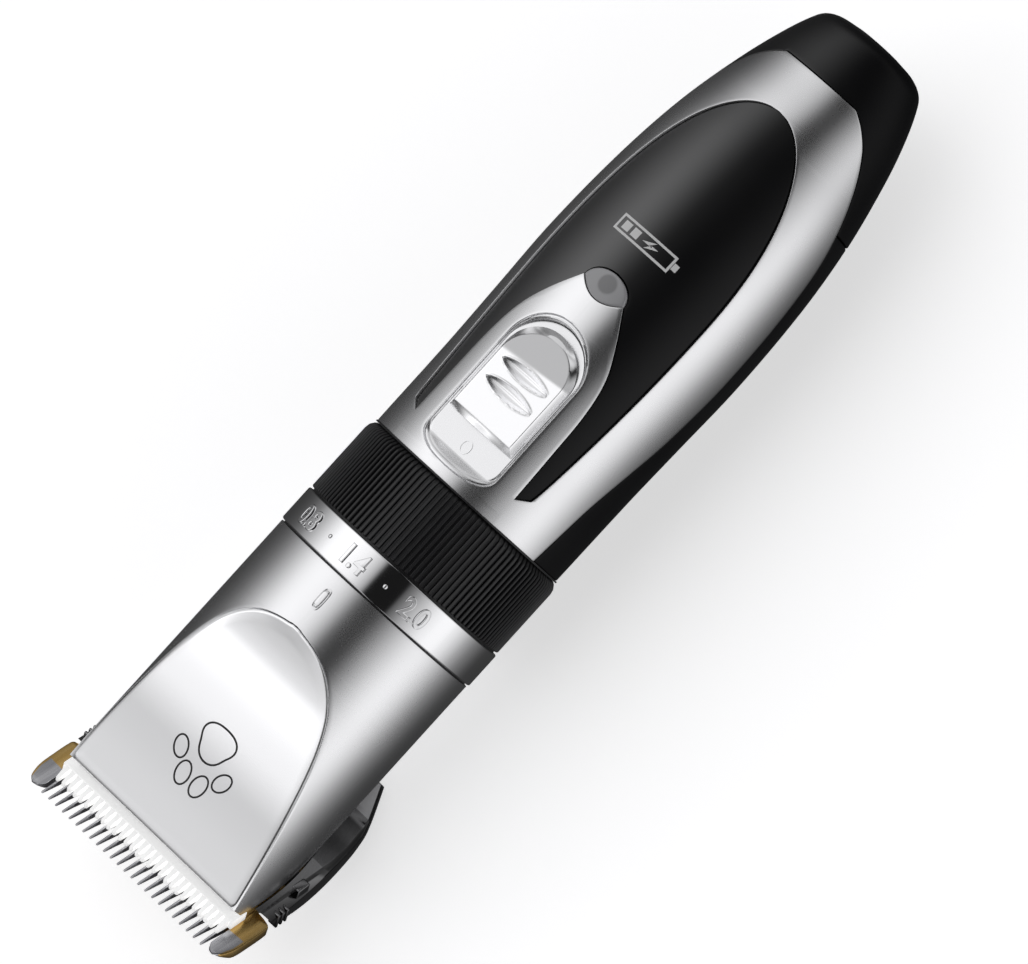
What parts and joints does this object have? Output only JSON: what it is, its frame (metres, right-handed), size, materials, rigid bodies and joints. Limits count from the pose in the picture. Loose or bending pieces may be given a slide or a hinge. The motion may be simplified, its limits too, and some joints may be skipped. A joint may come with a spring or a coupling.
{
  "type": "electric pet clipper",
  "caption": "Cordless pet clipper with a toothed blade set on a sloped head, a turning comb-height ring, a ribbed grip ring, a slide switch and a tapered handle.",
  "frame": {"origin": "middle of the bounding box's base: the clipper lies on its back, on the flat of the rear casing and the heel of the blade holder", "axes": "+Y from the blade to the tail, +Z out of the switch side, +X across"},
  "size_m": [0.0452, 0.175, 0.0398],
  "materials": {
    "satin_chrome": "satin, fine brushed",
    "dark_chrome": "dark polished",
    "white_plate": "satin white silver",
    "black_plastic": "satin",
    "grey_plastic": "satin",
    "white_plastic": "satin",
    "clear_plastic": "translucent gloss",
    "ceramic": "glazed ceramic",
    "titanium": "gold titanium coated",
    "steel": "ground",
    "brass": "turned",
    "board_green": "lacquered",
    "cell_sleeve": "printed-free shrink sleeve",
    "red_wire": "satin"
  },
  "bodies": {
    "handle": {"front_casing": "satin_chrome", "head_housing": "satin_chrome", "motor_magnet_left": "dark_chrome", "motor_magnet_right": "dark_chrome", "face_plate": "white_plate", "rear_casing": "black_plastic", "tail_cap": "black_plastic", "inset_panel": "black_plastic", "charge_chip": "black_plastic", "charging_socket": "black_plastic", "motor_wire_black": "black_plastic", "socket_wire": "black_plastic", "motor_end_cap": "white_plastic", "indicator_lens": "clear_plastic", "charge_led": "clear_plastic", "slide_switch_body": "steel", "battery_cap": "steel", "battery_contact_front": "steel", "battery_contact_rear": "steel", "casing_screw_1": "steel", "casing_screw_2": "steel", "casing_screw_3": "steel", "casing_screw_4": "steel", "hinge_pin": "steel", "detent_leaf": "steel", "motor_bracket": "steel", "motor_can": "steel", "motor_screw_left": "steel", "motor_screw_right": "steel", "socket_pin": "brass", "motor_bearing": "brass", "circuit_board": "board_green", "battery_cell": "cell_sleeve", "capacitor": "cell_sleeve", "motor_wire_red": "red_wire", "battery_wire_red": "red_wire"},
    "power_switch": {"switch_slider": "satin_chrome", "switch_carrier": "grey_plastic", "switch_lever": "black_plastic"},
    "dial": {"dial_ring": "satin_chrome", "grip_ring": "black_plastic", "adjust_sleeve": "white_plastic"},
    "push_rod": {"adjust_rod": "steel"},
    "blade_set": {"blade_holder": "dark_chrome", "fixed_blade": "titanium", "blade_screw_left": "steel", "blade_screw_right": "steel"},
    "gap_block": {"blade_guide": "black_plastic", "blade_spring": "steel"},
    "cutter": {"moving_blade": "ceramic", "drive_fork": "white_plastic"},
    "rotor": {"motor_shaft": "steel", "motor_armature": "steel", "eccentric_cam": "white_plastic", "cam_pin": "steel"}
  },
  "joints": [
    {"name": "power_slide", "type": "slide", "parent": "handle", "child": "power_switch", "axis": [0, -1, 0], "range_m": [0, 0.0045]},
    {"name": "dial_turn", "type": "hinge", "parent": "handle", "child": "dial", "pos_m": [0, -0.0265, 0.02], "axis": [0, 1, 0], "range_deg": [-36, 36]},
    {"name": "rod_push", "type": "slide", "parent": "handle", "child": "push_rod", "axis": [0, 1, 0], "range_m": [-0.0006, 0.0006]},
    {"name": "blade_open", "type": "hinge", "parent": "handle", "child": "blade_set", "pos_m": [0, -0.0487, 0.0018], "axis": [1, 0, 0], "range_deg": [0, 50]},
    {"name": "gap_shift", "type": "slide", "parent": "blade_set", "child": "gap_block", "axis": [0, 0.7923, -0.6101], "range_m": [-0.0006, 0.0006]},
    {"name": "cutter_stroke", "type": "slide", "parent": "gap_block", "child": "cutter", "axis": [1, 0, 0], "range_m": [-0.0012, 0.0012]},
    {"name": "motor_spin", "type": "hinge", "parent": "handle", "child": "rotor", "pos_m": [0, -0.0375, 0.02], "axis": [0, 1, 0], "continuous": true}
  ],
  "couplings": [
    {"joint": "rod_push", "follows": "dial_turn", "m_per_rad": 0.0009},
    {"joint": "gap_shift", "follows": "dial_turn", "m_per_rad": 0.0009}
  ]
}
